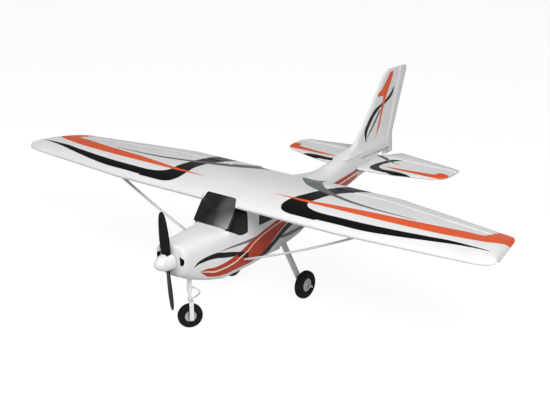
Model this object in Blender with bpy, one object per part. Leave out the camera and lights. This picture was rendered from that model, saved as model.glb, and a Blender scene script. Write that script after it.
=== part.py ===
import math

import bmesh
import bpy
from mathutils import Matrix, Vector

# Lengths below are millimetres. They count from the wing's root leading edge: x to the
# plane's left, y aft, z up. The part's own origin is on the ground, mid length.
MM = 0.001
LEADING_EDGE_AFT = -275.75
LEADING_EDGE_UP = 252.0

SEMI_SPAN = 618.0
ROOT_CHORD = 263.0
CENTRE_TRAILING = 245.0
THICKNESS = 0.12
CAMBER = 0.03
WASH = 0.02
TAPER_START = 300.0
TAPER_END = 610.0
TIP_LEADING = 15.4
TIP_TRAILING = 184.0
TIP_TRAILING_X = 592.0
TIP_RISE = 6.0

FLAP_IN = 84.8
FLAP_OUT = 287.4
AILERON_IN = 288.4
AILERON_OUT = 571.6
HINGE_ROOT = 197.0
HINGE_TIP = 145.5
HINGE_GAP = 0.6
SET_BACK = 7.0

SPAR_RADIUS = 4.0
SPAR_Y = 80.0
SPAR_Z = 5.0
SPAR_REACH = 300.0

SCREEN_FOOT = (-26.9, -44.7)
SCREEN_HEAD = (14.5, 12.3)
SCREEN_LOW_HALF = 46.0
SCREEN_HIGH_HALF = 38.5
SCREEN_THICK = 2.4

HOOD_FRONT = -112.0
HOOD_REAR = -29.0
HOOD_HALF = 38.0
HOOD_FLOOR = -53.0

TAIL_Z = -49.0
TAIL_THICK = 9.0
TAIL_HINGE = 612.0
TAIL_HALF_SPAN = 231.0
RUDDER_FOOT = (645.0, -50.0)
RUDDER_HEAD = (712.0, 165.0)
FIN_FOOT_Z = -3.0
FIN_THICK = 9.0

THRUST_Z = -82.0
PROP_Y = -161.0
PROP_RADIUS = 105.0
PROP_LEAN = math.radians(-6.0)
SPINNER_RADIUS = 19.0
SPINNER_BACK = -153.5
SPINNER_TIP = -194.0

MAIN_WHEEL = (104.0, 171.5, -220.0)
MAIN_RADIUS = 32.0
MAIN_WIDTH = 20.0
NOSE_WHEEL = (0.0, -96.0, -225.0)
NOSE_RADIUS = 27.0
NOSE_WIDTH = 18.0
NOSE_TURN = math.radians(-36.0)

STRUT_FOOT = (49.4, 29.0, -126.0)
STRUT_HEAD = (328.0, 37.0, -11.6)

HORN_DROP = 18.0
ARM_LEAD = 70.0
ROD_RADIUS = 0.9

COLOURS = {
    "foam": ((0.86, 0.86, 0.85), 0.55, 0.0),
    "black": ((0.012, 0.012, 0.013), 0.25, 0.0),
    "tyre": ((0.015, 0.015, 0.015), 0.75, 0.0),
    "grey": ((0.55, 0.56, 0.57), 0.45, 0.0),
    "alloy": ((0.75, 0.76, 0.78), 0.3, 1.0),
    "steel": ((0.6, 0.6, 0.61), 0.3, 1.0),
    "blue": ((0.03, 0.07, 0.25), 0.45, 0.0),
    "carbon": ((0.02, 0.02, 0.022), 0.4, 0.0),
}

for old in list(bpy.data.objects):
    bpy.data.objects.remove(old)


def place(point):
    x, y, z = point
    return Vector((x, y + LEADING_EDGE_AFT, z + LEADING_EDGE_UP)) * MM


def finish(name, mesh, colour, pivot=None, turn=None, mirror=False):
    # mesh is in millimetres from the leading edge; pivot is a point on the joint's axis
    pivot = Vector(pivot) if pivot else Vector((0.0, 0.0, 0.0))
    if turn:
        bmesh.ops.rotate(
            mesh, cent=turn[0], matrix=Matrix.Rotation(turn[1], 3, turn[2]), verts=mesh.verts
        )
    if mirror:
        bmesh.ops.scale(mesh, vec=(-1.0, 1.0, 1.0), verts=mesh.verts)
        pivot.x = -pivot.x
    bmesh.ops.remove_doubles(mesh, verts=mesh.verts, dist=0.0005)
    origin = place(pivot)
    for vert in mesh.verts:
        vert.co = place(vert.co) - origin
    bmesh.ops.recalc_face_normals(mesh, faces=mesh.faces)
    data = bpy.data.meshes.new(name)
    mesh.to_mesh(data)
    mesh.free()
    thing = bpy.data.objects.new(name, data)
    thing.location = origin
    bpy.context.collection.objects.link(thing)
    if colour:
        tint, rough, metal = COLOURS[colour]
        paint = bpy.data.materials.new(name)
        paint.use_nodes = True
        shader = paint.node_tree.nodes["Principled BSDF"]
        shader.inputs["Base Color"].default_value = (*tint, 1.0)
        shader.inputs["Roughness"].default_value = rough
        shader.inputs["Metallic"].default_value = metal
        data.materials.append(paint)
    return thing


def loft_mesh(rings):
    mesh = bmesh.new()
    rows = [[mesh.verts.new(point) for point in ring] for ring in rings]
    count = len(rows[0])
    for low, high in zip(rows, rows[1:]):
        for i in range(count):
            j = (i + 1) % count
            mesh.faces.new((low[i], low[j], high[j], high[i]))
    mesh.faces.new(rows[0])
    mesh.faces.new(rows[-1])
    return mesh


def loft(name, rings, colour, **how):
    return finish(name, loft_mesh(rings), colour, **how)


def box_rings(x0, x1, y0, y1, z0, z1):
    return [[(x0, y, z), (x1, y, z), (x1, y, w), (x0, y, w)] for y, z, w in ((y0, z0, z1), (y1, z0, z1))]


def box(name, limits, colour, **how):
    return loft(name, box_rings(*limits), colour, **how)


def prism_rings(outline, axis, low, high):
    # outline pairs fill the other two axes in order
    rings = []
    for level in (low, high):
        ring = []
        for a, b in outline:
            point = [a, b]
            point.insert(axis, level)
            ring.append(tuple(point))
        rings.append(ring)
    return rings


def turned_mesh(profile, centre, axis, steps):
    # profile pairs are radius and distance along the axis from the centre
    axis = Vector(axis).normalized()
    side = axis.orthogonal().normalized()
    centre = Vector(centre)
    mesh = bmesh.new()
    verts = [mesh.verts.new(centre + side * radius + axis * along) for radius, along in profile]
    edges = [mesh.edges.new(pair) for pair in zip(verts, verts[1:])]
    if profile[0][0] > 0.0:
        edges.append(mesh.edges.new((verts[-1], verts[0])))
    bmesh.ops.spin(
        mesh, geom=verts + edges, cent=centre, axis=axis, angle=math.tau, steps=steps, use_merge=True
    )
    bmesh.ops.remove_doubles(mesh, verts=mesh.verts, dist=0.0005)
    return mesh


def turned(name, profile, centre, axis, steps, colour, **how):
    return finish(name, turned_mesh(profile, centre, axis, steps), colour, **how)


def rod_profile(radius, length):
    return [(0.0, 0.0), (radius, 0.0), (radius, length), (0.0, length)]


def rod(name, start, end, radius, steps, colour, **how):
    start = Vector(start)
    line = Vector(end) - start
    return turned(name, rod_profile(radius, line.length), start, line, steps, colour, **how)


def combine(thing, other, operation):
    other.hide_render = True
    other.display_type = "WIRE"
    change = thing.modifiers.new(operation.lower(), "BOOLEAN")
    change.operation = operation
    change.solver = "EXACT"
    change.object = other


def cut(thing, other):
    combine(thing, other, "DIFFERENCE")


def strip(path, half):
    # a bent strip's outline, its two faces half a thickness from the path
    points = [Vector(p) for p in path]
    left = []
    right = []
    for i, point in enumerate(points):
        before = (point - points[i - 1]).normalized() if i else (points[1] - point).normalized()
        after = (points[i + 1] - point).normalized() if i + 1 < len(points) else before
        across = Vector((-before.y - after.y, before.x + after.x)).normalized()
        reach = half / max(0.3, across.dot(Vector((-before.y, before.x))))
        left.append(tuple(point + across * reach))
        right.append(tuple(point - across * reach))
    return left + right[::-1]


def power(value, exponent):
    return math.copysign(abs(value) ** exponent, value)


def body_ring(y, half, top, bottom, upper, lower, count=28):
    # a rounded box section: the exponents set how square its upper and lower corners are
    middle = (top + bottom) / 2
    height = (top - bottom) / 2
    ring = []
    for i in range(count):
        angle = math.tau * (i + 0.5) / count
        squareness = upper if math.sin(angle) > 0 else lower
        x = half * power(math.cos(angle), 2 / squareness)
        z = middle + height * power(math.sin(angle), 2 / squareness)
        ring.append((x, y, z))
    return ring


def screen_y(z):
    (foot_y, foot_z), (head_y, head_z) = SCREEN_FOOT, SCREEN_HEAD
    return foot_y + (z - foot_z) * (head_y - foot_y) / (head_z - foot_z)


def fuselage_rings():
    deck = -12.5
    stations = (
        (-151.0, 36.5, -50.5, -113.0, 2.8, 2.7),
        (-147.5, 40.0, -47.5, -116.5, 2.9, 2.8),
        (-138.0, 41.5, -46.0, -121.5, 3.0, 2.9),
        (-120.0, 43.0, -45.2, -131.0, 3.1, 3.0),
        (-90.0, 45.0, -44.5, -142.0, 3.4, 3.4),
        (-55.0, 47.5, -45.0, -152.0, 4.5, 4.0),
        (SCREEN_FOOT[0], 49.0, -46.0, -158.0, 6.0, 4.0),
        (screen_y(deck) + 1.2, 49.5, deck, -160.0, 8.0, 4.0),
        (60.0, 50.0, deck, -159.0, 8.0, 4.0),
        (105.0, 49.5, deck, -157.0, 8.0, 4.0),
        (150.0, 49.0, deck, -153.5, 8.0, 4.0),
        (238.0, 46.0, deck, -143.5, 6.0, 3.6),
        (258.0, 43.5, deck, -140.0, 4.5, 3.4),
        (300.0, 38.0, -18.0, -130.5, 3.2, 3.2),
        (370.0, 31.0, -25.0, -113.0, 2.8, 2.8),
        (430.0, 26.0, -16.0, -101.0, 2.5, 2.6),
        (480.0, 22.5, -7.0, -89.0, 2.4, 2.5),
        (540.0, 17.0, FIN_FOOT_Z - 0.4, -78.0, 2.4, 2.4),
        (611.0, 11.5, FIN_FOOT_Z - 0.4, -68.0, 2.4, 2.4),
        (664.0, 7.0, FIN_FOOT_Z - 0.4, -57.0, 2.4, 2.4),
    )
    return [body_ring(*station) for station in stations]


def foil(u):
    # camber line and half thickness over the chord
    p = 0.4
    if u < p:
        line = CAMBER / p**2 * (2 * p * u - u * u)
    else:
        line = CAMBER / (1 - p) ** 2 * (1 - 2 * p + 2 * p * u - u * u)
    half = 5 * THICKNESS * (
        0.2969 * math.sqrt(u) - 0.126 * u - 0.3516 * u**2 + 0.2843 * u**3 - 0.1036 * u**4
    )
    return line, half


def wing_plan(x):
    # leading edge, trailing edge and rise of the wing at a distance out
    out = max(0.0, x - TAPER_START)
    lead = TIP_LEADING * out / (TAPER_END - TAPER_START)
    trail = ROOT_CHORD - (ROOT_CHORD - TIP_TRAILING) * out / (TIP_TRAILING_X - TAPER_START)
    rise = TIP_RISE * out / (TAPER_END - TAPER_START)
    return lead, trail, rise


def wing_heights(x, y, slim=1.0):
    lead, trail, rise = wing_plan(x)
    chord = trail - lead
    u = min(1.0, max(0.0, (y - lead) / chord))
    line, half = foil(u)
    middle = rise + chord * line - WASH * y
    depth = (chord * half + 0.8 * min(1.0, 4.0 * u)) * slim
    return middle, depth


def hinge_y(x):
    if x < AILERON_IN - 0.5:
        return HINGE_ROOT
    return HINGE_ROOT + (HINGE_TIP - HINGE_ROOT) * (x - AILERON_IN) / (AILERON_OUT - AILERON_IN)


UPPER_STEPS = (0.55, 0.4, 0.27, 0.16, 0.08, 0.03, 0.008, 0.0)
LOWER_STEPS = (0.01, 0.04, 0.12, 0.28, 0.48)


def wing_ring(x, lead, trail, cut_off, slim=1.0):
    # a section of the fixed wing; with cut_off its rear is a flat face at trail
    root, tail, _ = wing_plan(x)
    chord = tail - root if cut_off else trail - lead
    rear = () if cut_off else (1.0, 0.88, 0.75)
    upper = []
    lower = []
    for shares, row, sign in ((rear + UPPER_STEPS, upper, 1.0), (LOWER_STEPS + rear[::-1], lower, -1.0)):
        for u in shares:
            y = lead + chord * u
            middle, depth = wing_heights(x, y if slim == 1.0 else root + (tail - root) * u, slim)
            row.append((x, y, middle + sign * depth))
    if cut_off:
        middle, depth = wing_heights(x, trail, slim)
        upper = [(x, trail, middle + depth * k) for k in (0.08, 0.55, 1.0)] + upper
        lower += [(x, trail, middle - depth * k) for k in (1.0, 0.55, 0.08)]
    return upper + lower


def wing_rings():
    rings = [wing_ring(x, 0.0, CENTRE_TRAILING, False) for x in (0.3, FLAP_IN - 0.6)]
    for x in (FLAP_IN - 0.5, FLAP_OUT + 0.4, AILERON_OUT + 0.5):
        rings.append(wing_ring(x, wing_plan(x)[0], hinge_y(x), True))
    tips = ((572.2, 0.0, 0.0, 1.0), (587.0, 0.7, 1.5, 0.98), (596.5, 2.4, 14.0, 0.91))
    tips += ((604.0, 5.0, 52.0, 0.8), (610.5, 8.6, 90.0, 0.63), (615.2, 13.0, 115.0, 0.42))
    tips += ((SEMI_SPAN, 20.0, 131.0, 0.16),)
    for x, nose, short, slim in tips:
        lead, trail, _ = wing_plan(x)
        rings.append(wing_ring(x, lead + nose, trail - short, False, slim))
    return rings


def surface_rings(start, end):
    # flap or aileron: its front is a ridge on the hinge axis, so it swings clear
    rings = []
    for x in (start, end):
        _, trail, _ = wing_plan(x)
        front = hinge_y(x) + HINGE_GAP
        ridge, _ = wing_heights(x, hinge_y(x))
        sides = [(y, *wing_heights(x, y)) for y in (front + SET_BACK, (front + trail) / 2 + 8.0, trail)]
        ring = [(x, front, ridge)]
        ring += [(x, y, middle + depth) for y, middle, depth in sides]
        ring += [(x, y, middle - depth) for y, middle, depth in sides[::-1]]
        rings.append(ring)
    return rings


def hinge_frame(start, end, where):
    # turns hinge coordinates (along, aft, up) into the wing's
    ends = []
    for x in (start, end):
        ends.append(Vector((x, hinge_y(x) + HINGE_GAP, wing_heights(x, hinge_y(x))[0])))
    along = (ends[1] - ends[0]).normalized()
    up = Vector((0.0, 0.0, 1.0))
    aft = up.cross(along).normalized()
    up = along.cross(aft)
    base = ends[0].lerp(ends[1], (where - start) / (end - start))
    frame = Matrix((along, aft, up)).transposed()
    return base, frame


def moved(rings, base, frame):
    return [[tuple(base + frame @ Vector(point)) for point in ring] for ring in rings]


def slab_ring(lead, rear, half, steps=4):
    # a plate section with a round nose: pairs of distance aft and half thickness
    nose = min(4.0 * half, 0.5 * (rear - lead))
    upper = [(rear, half)]
    for i in range(steps):
        share = 1.0 - i / steps
        upper.append((lead + nose * share, half * math.sqrt(1.0 - (1.0 - share) ** 2)))
    return upper + [(lead, 0.0)] + [(y, -h) for y, h in upper[::-1]]


def wedge_ring(front, trail, half, edge=1.0):
    return [(front, 0.0), (front + SET_BACK, half), (trail, edge), (trail, -edge), (front + SET_BACK, -half)]


def rudder_hinge(z):
    (foot_y, foot_z), (head_y, head_z) = RUDDER_FOOT, RUDDER_HEAD
    return foot_y + (z - foot_z) * (head_y - foot_y) / (head_z - foot_z)


def both_sides(stations):
    return [(-s[0], *s[1:]) for s in stations[::-1]] + list(stations)


fuselage = loft("fuselage", fuselage_rings(), "foam")
hood_limits = (-HOOD_HALF - 0.3, HOOD_HALF + 0.3, HOOD_FRONT - 0.3, HOOD_REAR + 0.3, HOOD_FLOOR - 0.3, 0.0)
tail_end = [(rudder_hinge(z) - 1.2, z) for z in (-80.0, 20.0)] + [(720.0, 20.0), (720.0, -80.0)]
cutters = (
    box("cut_hood", hood_limits, None),
    box("cut_bay_front", (-30.0, 30.0, -111.0, -60.0, -120.0, -51.0), None),
    box("cut_bay", (-36.0, 36.0, -61.0, 216.0, -132.0, -56.0), None),
    box("cut_deck", (-35.0, 35.0, 12.0, 206.0, -70.0, 0.0), None),
    rod("cut_motor", (0, -139, THRUST_Z), (0, -105, THRUST_Z), 20.0, 24, None),
    rod("cut_shaft", (0, -160, THRUST_Z), (0, -133, THRUST_Z), 15.0, 24, None),
    loft(
        "cut_boom",
        [
            body_ring(210.0, 34.0, -24.0, -128.0, 3.0, 3.0, 12),
            body_ring(300.0, 28.0, -30.0, -120.0, 3.0, 3.0, 12),
            body_ring(370.0, 21.0, -37.0, -104.0, 3.0, 3.0, 12),
            body_ring(478.0, 14.0, -25.0, -80.0, 3.0, 3.0, 12),
        ],
        None,
    ),
    box("cut_tail", (-40, 40, 493.0, 640.0, TAIL_Z - TAIL_THICK / 2 - 0.4, TAIL_Z + TAIL_THICK / 2 + 0.4), None),
    box("cut_elevator", (-40.0, 40.0, 608.0, 700.0, TAIL_Z - 12.0, TAIL_Z + 12.0), None),
    loft("cut_tail_end", prism_rings(tail_end, 0, -40.0, 40.0), None),
    box("cut_rudder_rod", (9.0, 40.0, 440.0, 575.0, -31.8, -26.2), None),
    box("cut_elevator_rod", (-40.0, -12.0, 425.0, 520.0, -66.5, -61.5), None),
    box("cut_leg_slot", (-60.0, 60.0, MAIN_WHEEL[1] - 9.4, MAIN_WHEEL[1] + 9.4, -139.7, -136.3), None),
    rod("cut_nose", (0, NOSE_WHEEL[1], -160), (0, NOSE_WHEEL[1], -110), 5.7, 20, None),
    box("cut_intake_left", (25.5, 33.5, -160, -122.0, THRUST_Z - 5, THRUST_Z + 12), None),
    box("cut_intake_right", (-33.5, -25.5, -160, -122.0, THRUST_Z - 5, THRUST_Z + 12), None),
)
for cutter in cutters:
    cut(fuselage, cutter)

hatch_pivot = (0.0, HOOD_FRONT, -45.5)
hood = loft("hatch_hood", fuselage_rings(), "foam", pivot=hatch_pivot)
keep = box("keep_hood", (-HOOD_HALF, HOOD_HALF, HOOD_FRONT, HOOD_REAR, HOOD_FLOOR, 0.0), None)
combine(hood, keep, "INTERSECT")

screen_rings = []
for lift in (0.0, SCREEN_THICK):
    ring = []
    for z, half in ((SCREEN_FOOT[1] + 1.5, SCREEN_LOW_HALF), (SCREEN_HEAD[1], SCREEN_HIGH_HALF)):
        y = screen_y(z) - 0.81 * lift
        ring += [(half, y, z + 0.59 * lift), (-half, y, z + 0.59 * lift)]
    screen_rings.append([ring[0], ring[1], ring[3], ring[2]])
loft("windscreen", screen_rings, "black", pivot=hatch_pivot)

notch = []
for z in (-30.0, 40.0):
    notch.append((screen_y(z) + 0.5, z))
notch += [(-40.0, 40.0), (-40.0, -30.0)]

frames = {
    "flap": (FLAP_IN, FLAP_OUT, 160.0),
    "aileron": (AILERON_IN, AILERON_OUT, 420.0),
}
for side, mirror in (("left", False), ("right", True)):
    wing = loft(f"wing_{side}", wing_rings(), "foam", mirror=mirror)
    cut(wing, loft(f"cut_notch_{side}", prism_rings(notch, 0, -60.0, 46.6), None, mirror=mirror))
    spar_line = ((-5.0, SPAR_Y, SPAR_Z), (SPAR_REACH + 1.0, SPAR_Y, SPAR_Z))
    cut(wing, rod(f"cut_spar_{side}", *spar_line, SPAR_RADIUS + 0.4, 16, None, mirror=mirror))
    for kind, (start, end, where) in frames.items():
        base, frame = hinge_frame(start, end, where)
        loft(f"{side}_{kind}", surface_rings(start, end), "foam", pivot=base, mirror=mirror)
        lower = base.z - 1.0
        _, depth = wing_heights(where, base.y - ARM_LEAD)
        floor = wing_heights(where, base.y - ARM_LEAD)[0] - depth - base.z
        pocket = moved(box_rings(-3.0, 15.5, -ARM_LEAD - 14.0, -ARM_LEAD + 16.0, -40.0, 9.5), base, frame)
        cut(wing, loft(f"cut_{side}_{kind}", pocket, None, mirror=mirror))
        servo = moved(box_rings(2.4, 14.8, -ARM_LEAD - 7.0, -ARM_LEAD + 15.5, floor, 9.0), base, frame)
        loft(f"{side}_{kind}_servo", servo, "black", mirror=mirror)
        behind = base.y + SET_BACK
        under = wing_heights(where, behind + 6.0)
        root = under[0] - under[1] - base.z - 0.5
        plate = [(SET_BACK + 1.0, root - 0.4), (SET_BACK + 15.0, root), (SET_BACK + 15.0, root - 2.0)]
        plate += [(2.5, -HORN_DROP - 2.0), (-2.0, -HORN_DROP - 2.0), (-2.5, -HORN_DROP + 2.0)]
        horn = moved(prism_rings(plate, 0, -0.8, 0.8), base, frame)
        loft(f"{side}_{kind}_horn", horn, "black", pivot=base, mirror=mirror)
        shaft = base + frame @ Vector((0.0, -ARM_LEAD, 0.0))
        lever = [(-3.2, 3.0), (3.2, 3.0), (3.2, -3.0), (1.9, -HORN_DROP - 2.2), (-1.9, -HORN_DROP - 2.2), (-3.2, -3.0)]
        arm = moved(prism_rings(lever, 0, -0.8, 1.9), shaft, frame)
        loft(f"{side}_{kind}_arm", arm, "black", pivot=shaft, mirror=mirror)
        pin = base + frame @ Vector((0.0, -ARM_LEAD, -HORN_DROP))
        wire_start = base + frame @ Vector((-2.1, -ARM_LEAD - 3.0, -HORN_DROP))
        wire_end = base + frame @ Vector((-2.1, 3.0, -HORN_DROP))
        rod(f"{side}_{kind}_rod", wire_start, wire_end, ROD_RADIUS, 8, "steel", pivot=pin, mirror=mirror)

    strut = [[], []]
    for i in range(10):
        angle = math.tau * i / 10
        a = math.cos(angle)
        b = math.sin(angle)
        strut[0].append((STRUT_FOOT[0], STRUT_FOOT[1] + 4.8 * a, STRUT_FOOT[2] + 2.9 * b))
        strut[1].append((STRUT_HEAD[0] - 7.2 * b, STRUT_HEAD[1] + 4.8 * a, STRUT_HEAD[2]))
    loft(f"wing_strut_{side}", strut, "grey", mirror=mirror)

    wheel_x, wheel_y, wheel_z = MAIN_WHEEL
    path = [(4.0, -138.0), (44.0, -138.0), (84.0, -205.0), (90.0, -212.0), (90.0, -226.0)]
    leg_rings = prism_rings(strip(path, 1.3), 1, wheel_y - 9.0, wheel_y + 9.0)
    leg = loft(f"gear_leg_{side}", leg_rings, "alloy", mirror=mirror)
    hole = rod(f"cut_leg_{side}", (80, wheel_y, wheel_z), (100, wheel_y, wheel_z), 2.4, 16, None, mirror=mirror)
    cut(leg, hole)
    bolt = [(0.0, -19.5), (4.0, -19.5), (4.0, -15.7), (2.0, -15.7), (2.0, 10.6), (3.6, 10.6)]
    bolt += [(3.6, 15.0), (2.0, 15.0), (2.0, 20.0), (0.0, 20.0)]
    turned(f"axle_{side}", bolt, MAIN_WHEEL, (1, 0, 0), 16, "steel", mirror=mirror)


def wheel(name, centre, radius, width, bore, rim, turn=None, mirror=False):
    half = width / 2
    shape = [(rim + 0.3, -half * 0.7), (radius * 0.72, -half), (radius * 0.9, -half * 0.86), (radius, -half * 0.36)]
    shape += [(r, -a) for r, a in shape[::-1]]
    how = {"pivot": centre, "turn": turn, "mirror": mirror}
    turned(f"{name}_tyre", shape, centre, (1, 0, 0), 32, "tyre", **how)
    shape = [(bore, -half * 0.95), (rim * 0.45, -half * 0.95), (rim * 0.6, -half * 0.5), (rim, -half * 0.6)]
    shape += [(r, -a) for r, a in shape[::-1]]
    turned(f"{name}_hub", shape, centre, (1, 0, 0), 28, "grey", **how)


wheel("left_wheel", MAIN_WHEEL, MAIN_RADIUS, MAIN_WIDTH, 2.4, 15.0)
wheel("right_wheel", MAIN_WHEEL, MAIN_RADIUS, MAIN_WIDTH, 2.4, 15.0, mirror=True)
skid = [(112.0, -159.9), (112.0, -157.4), (150.0, -154.4), (190.0, -149.9), (190.0, -159.9)]
loft("gear_plate", prism_rings(skid, 0, -20.0, 20.0), "black")

rod("wing_spar", (-SPAR_REACH, SPAR_Y, SPAR_Z), (SPAR_REACH, SPAR_Y, SPAR_Z), SPAR_RADIUS, 16, "carbon")

tail_half = TAIL_THICK / 2
tail_plan = ((12.0, 497.0, 1.0), (60.0, 500.0, 1.0), (203.0, 538.0, 1.0), (217.0, 545.0, 0.94))
tail_plan += ((226.0, 556.0, 0.8), (TAIL_HALF_SPAN, 574.0, 0.6))
tail_rings = []
for x, lead, slim in both_sides(tail_plan):
    ring = slab_ring(lead, TAIL_HINGE - 0.6, tail_half * slim)
    tail_rings.append([(x, y, TAIL_Z + h) for y, h in ring])
loft("stabilizer", tail_rings, "foam")

elevator_plan = ((8.0, 624.0, 0.9), (39.0, 680.0, 1.0), (208.0, 644.0, 1.0), (223.0, 639.0, 0.9))
elevator_plan += ((TAIL_HALF_SPAN, 630.0, 0.6),)
elevator_rings = []
for x, trail, slim in both_sides(elevator_plan):
    ring = wedge_ring(TAIL_HINGE, trail, tail_half * slim, 0.9)
    elevator_rings.append([(x, y, TAIL_Z + h) for y, h in ring])
elevator_pivot = (0.0, TAIL_HINGE, TAIL_Z)
loft("elevator", elevator_rings, "foam", pivot=elevator_pivot)


fin_rings = []
fin_plan = ((FIN_FOOT_Z, 488.0, 1.0), (3.0, 508.0, 1.0), (12.0, 521.0, 1.0), (140.0, 628.0, 0.95))
fin_plan += ((157.0, 644.0, 0.85), (166.0, 661.0, 0.6))
for z, lead, slim in fin_plan:
    ring = slab_ring(lead, rudder_hinge(z) - 0.6, FIN_THICK / 2 * slim)
    fin_rings.append([(h, y, z) for y, h in ring])
loft("fin", fin_rings, "foam")

rudder_rings = []
rudder_plan = ((-52.0, 694.0, 1.0), (0.0, 691.0, 1.0), (152.0, 749.0, 0.95), (161.0, 751.0, 0.85), (166.0, 743.0, 0.6))
for z, trail, slim in rudder_plan:
    ring = wedge_ring(rudder_hinge(z), trail, FIN_THICK / 2 * slim, 0.9)
    rudder_rings.append([(h, y, z) for y, h in ring])
rudder_pivot = (0.0, RUDDER_FOOT[0], RUDDER_FOOT[1])
loft("rudder", rudder_rings, "foam", pivot=rudder_pivot)

horn_z = -34.0
horn_y = rudder_hinge(horn_z)
plate = [(FIN_THICK / 2 + 0.4, horn_y + SET_BACK + 1), (FIN_THICK / 2 + 0.2, horn_y + SET_BACK + 15)]
plate += [(18.0, horn_y + 2.5), (18.0, horn_y - 2.0), (14.0, horn_y - 2.5)]
loft("rudder_horn", prism_rings(plate, 2, horn_z - 0.8, horn_z + 0.8), "black", pivot=rudder_pivot)
# the horn rises and falls as it swings on the leaned hinge, so the rod runs clear above it
wire_z = horn_z + 5.0
rod("rudder_rod", (16, horn_y + 3, wire_z), (16, 458.0, wire_z), ROD_RADIUS, 8, "steel")
lower = TAIL_Z - tail_half
plate = [(TAIL_HINGE + SET_BACK + 1, lower - 0.4), (TAIL_HINGE + SET_BACK + 14, lower - 0.2)]
plate += [(TAIL_HINGE + 2.5, TAIL_Z - 17), (TAIL_HINGE - 2, TAIL_Z - 17), (TAIL_HINGE - 2.5, TAIL_Z - 13)]
loft("elevator_horn", prism_rings(plate, 0, -22.8, -21.2), "black", pivot=elevator_pivot)
rod("elevator_rod", (-19.9, TAIL_HINGE + 3, TAIL_Z - 15), (-19.9, 440.0, TAIL_Z - 15), ROD_RADIUS, 8, "steel")

prop_pivot = (0.0, PROP_Y, THRUST_Z)
spin_turn = (Vector(prop_pivot), PROP_LEAN, "Y")


def blade_ring(radius, chord, thick, pitch, sign):
    ring = []
    for i in range(10):
        angle = math.tau * i / 10
        a = math.cos(angle) * chord / 2
        b = math.sin(angle) * thick / 2
        x = a * math.cos(pitch) - b * math.sin(pitch)
        y = a * math.sin(pitch) + b * math.cos(pitch)
        ring.append((sign * x, PROP_Y + y, THRUST_Z + sign * radius))
    return ring


blade_plan = ((5.0, 12.0, 6.0, 34), (19.0, 20.5, 4.4, 27), (45.0, 22.0, 3.2, 23), (75.0, 19.8, 2.4, 17))
blade_plan += ((95.0, 14.8, 1.8, 15), (102.0, 9.8, 1.5, 14), (PROP_RADIUS, 4.0, 1.0, 14))
hub_shape = [(3.0, -7.0), (9.5, -7.0), (9.5, 7.0), (3.0, 7.0)]
propeller = turned(
    "propeller", hub_shape, prop_pivot, (0, 1, 0), 24, "black", pivot=prop_pivot, turn=spin_turn
)
for label, sign in (("upper", 1), ("lower", -1)):
    rings = [blade_ring(r, c, t, math.radians(p), sign) for r, c, t, p in blade_plan]
    combine(propeller, loft(f"join_blade_{label}", rings, None, pivot=prop_pivot, turn=spin_turn), "UNION")

length = SPINNER_BACK - SPINNER_TIP
ogive = [(0.0, -27.0), (10.0, -25.0), (14.0, -18.0), (15.0, 0.0)]
ogive += [(SPINNER_RADIUS * math.sqrt(1.0 - (i / 8) ** 2.2), -length * i / 8) for i in range(8)]
ogive.append((0.0, -length))
spinner_at = (0.0, SPINNER_BACK, THRUST_Z)
spinner = turned("spinner", ogive, spinner_at, (0, 1, 0), 32, "foam", pivot=spinner_at, turn=spin_turn)
slot = (-10.5, 10.5, PROP_Y - 8.0, SPINNER_BACK + 5, THRUST_Z - 40, THRUST_Z + 40)
cut(spinner, box("cut_spinner", slot, None, pivot=prop_pivot, turn=spin_turn))

can = [(0.0, -56.0), (2.6, -56.0), (2.6, -16.0), (14.0, -16.0), (14.0, 0.0), (0.0, 0.0)]
turned("motor_can", can, (0, -113.0, THRUST_Z), (0, 1, 0), 24, "alloy", pivot=(0, -113.0, THRUST_Z))
mount = [(0.0, 0.0), (12.0, 0.0), (12.0, 4.0), (19.4, 4.0), (19.4, 7.0), (0.0, 7.0)]
turned("motor_mount", mount, (0, -112.6, THRUST_Z), (0, 1, 0), 24, "steel")

nose_x, nose_y, nose_z = NOSE_WHEEL
nose_turn = (Vector((0.0, nose_y, 0.0)), NOSE_TURN, "Z")
steer_pivot = (0.0, nose_y, -150.0)
steer = {"pivot": steer_pivot, "turn": nose_turn}
block = box("nose_gear_mount", (-13.0, 13.0, nose_y - 13, nose_y + 13, -119.6, -107.0), "black")
cut(block, rod("cut_block", (0, nose_y, -130), (0, nose_y, -100), 5.5, 20, None))
tube = [(0.0, 46.0), (5.0, 46.0), (5.0, 0.0), (4.0, 0.0), (4.0, 38.0), (0.0, 38.0)]
upper = turned("nose_strut_upper", tube, (0, nose_y, -172.0), (0, 0, 1), 20, "alloy", **steer)
lug = box("join_lug_upper", (-3.0, 3.0, nose_y + 4.4, nose_y + 9.0, -166.0, -160.0), None, **steer)
combine(upper, lug, "UNION")
lower_leg = rod("nose_strut_lower", (0, nose_y, -190), (0, nose_y, -142), 3.5, 16, "alloy", **steer)
arm_path = [(-4.0, -187.0), (16.5, -187.0), (16.5, -229.0)]
arm_rings = prism_rings(strip(arm_path, 2.2), 1, nose_y - 4.5, nose_y + 4.5)
combine(lower_leg, loft("join_arm", arm_rings, None, **steer), "UNION")
pins = rod("join_axle", (21.0, nose_y, nose_z), (-13.0, nose_y, nose_z), 2.0, 16, None, **steer)
combine(lower_leg, pins, "UNION")
lug = box("join_lug_lower", (-3.0, 3.0, nose_y + 2.0, nose_y + 9.0, -188.5, -184.9), None, **steer)
combine(lower_leg, lug, "UNION")
wheel("nose_wheel", NOSE_WHEEL, NOSE_RADIUS, NOSE_WIDTH, 2.4, 12.5, turn=nose_turn)
lug_reach = 9.5
lug_x = -lug_reach * math.sin(NOSE_TURN)
lug_y = nose_y + lug_reach * math.cos(NOSE_TURN)
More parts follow.
